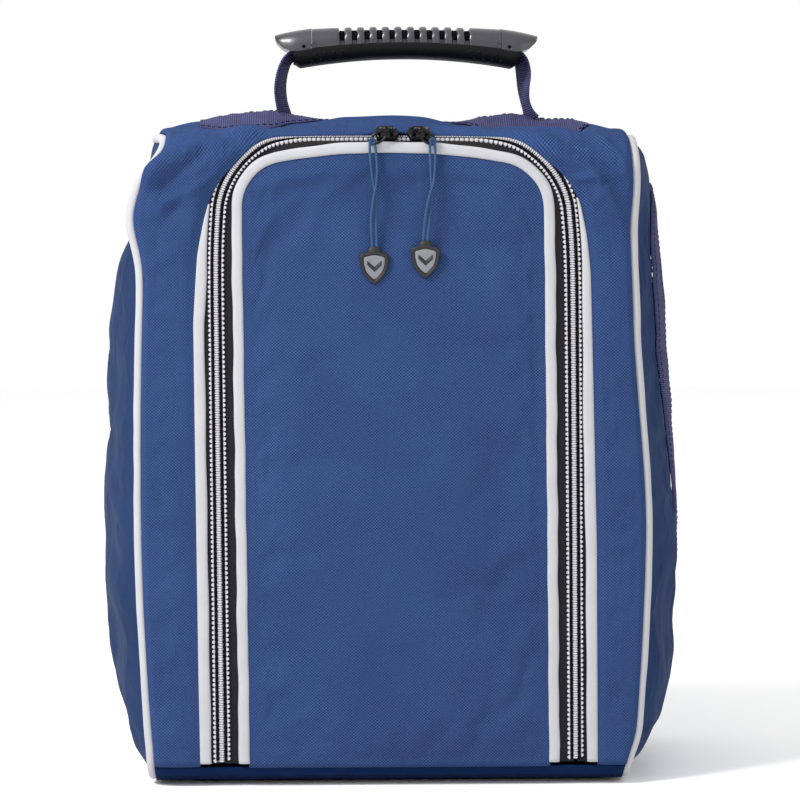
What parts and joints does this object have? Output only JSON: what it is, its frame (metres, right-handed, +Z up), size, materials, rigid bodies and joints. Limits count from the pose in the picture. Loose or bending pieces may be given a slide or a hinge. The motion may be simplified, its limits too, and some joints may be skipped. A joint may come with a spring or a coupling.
{
  "type": "golf shoe bag",
  "caption": "Upright soft golf shoe bag with an arched zipped door, piped side panels, a side mesh window, a moulded grip handle and cord zip pulls.",
  "frame": {"origin": "centre of the base, on the surface the bag stands on", "axes": "+Z up, -Y out of the front with the zipped door, +X to the right as seen from the front"},
  "size_m": [0.2935, 0.1584, 0.378],
  "materials": {
    "fabric_main": "woven polyester with a fine diagonal weave",
    "fabric_side": "smoother satin-like woven polyester",
    "fabric_bottom": "dark woven polyester",
    "coated_skin": "black coated base skin",
    "board": "stiffening board",
    "mesh": "open ventilation mesh",
    "webbing": "ribbed purple-navy webbing",
    "piping": "white covered piping",
    "binding": "white folded binding",
    "zip_tape": "black woven zip tape",
    "zip_teeth": "silver-white moulded teeth",
    "seam_tape": "dark seam binding tape",
    "slider_black": "glossy black enamel",
    "cord": "braided steel-blue cord",
    "pull_rubber": "moulded black rubber",
    "pull_inlay": "satin grey-silver inlay",
    "grip_grey": "satin dark grey moulding",
    "grip_black": "soft black moulding",
    "pin": "dark pin heads"
  },
  "bodies": {
    "bag": {"front_top_panel": "fabric_main", "back_panel": "fabric_main", "bottom_panel": "fabric_bottom", "base_skin": "coated_skin", "base_board": "board", "side_panel_left": "fabric_side", "side_panel_right": "fabric_side", "side_mesh_right": "mesh", "mesh_binding_right": "webbing", "side_piping_left": "piping", "side_piping_right": "piping", "seam_tape_left": "seam_tape", "seam_tape_right": "seam_tape", "outer_zip_binding": "binding", "zip_tape_outer": "zip_tape", "zip_teeth_outer": "zip_teeth", "top_webbing": "webbing"},
    "door": {"door_panel": "fabric_main", "inner_zip_binding": "binding", "zip_tape_inner": "zip_tape", "zip_teeth_inner": "zip_teeth"},
    "slider_left": {"slider_left": "slider_black"},
    "slider_right": {"slider_right": "slider_black"},
    "bail_left": {"bail_left": "slider_black"},
    "bail_right": {"bail_right": "slider_black"},
    "pull_left": {"pull_cord_left": "cord", "pull_shield_left": "pull_rubber", "pull_inlay_left": "pull_inlay"},
    "pull_right": {"pull_cord_right": "cord", "pull_shield_right": "pull_rubber", "pull_inlay_right": "pull_inlay"},
    "handle": {"handle_shell": "grip_grey", "handle_grip": "grip_black", "handle_cap_left": "grip_grey", "handle_cap_right": "grip_grey", "handle_pins": "pin", "handle_strap": "webbing"}
  },
  "joints": [
    {"name": "door_hinge", "type": "hinge", "parent": "bag", "child": "door", "pos_m": [0, -0.074, 0.0112], "axis": [1, 0, 0], "range_deg": [0, 90]},
    {"name": "zip_slide_left", "type": "slide", "parent": "door", "child": "slider_left", "axis": [-0.9982, 0, -0.0601], "range_m": [0, 0.032]},
    {"name": "zip_slide_right", "type": "slide", "parent": "door", "child": "slider_right", "axis": [0.997, 0, -0.0772], "range_m": [0, 0.032]},
    {"name": "bail_hinge_left", "type": "hinge", "parent": "slider_left", "child": "bail_left", "pos_m": [-0.0055, -0.0806, 0.32096], "axis": [0, 0, 1], "range_deg": [0, 90]},
    {"name": "bail_hinge_right", "type": "hinge", "parent": "slider_right", "child": "bail_right", "pos_m": [0.0115, -0.0806, 0.32083], "axis": [0, 0, -1], "range_deg": [0, 90]},
    {"name": "pull_swing_left", "type": "hinge", "parent": "bail_left", "child": "pull_left", "pos_m": [-0.0122, -0.0806, 0.3164], "axis": [1, 0, 0], "range_deg": [-100, 0]},
    {"name": "pull_swing_right", "type": "hinge", "parent": "bail_right", "child": "pull_right", "pos_m": [0.0171, -0.0806, 0.3164], "axis": [1, 0, 0], "range_deg": [-100, 0]},
    {"name": "handle_hinge", "type": "hinge", "parent": "bag", "child": "handle", "pos_m": [0.007, 0, 0.338], "axis": [1, 0, 0], "range_deg": [-50, 50]}
  ]
}
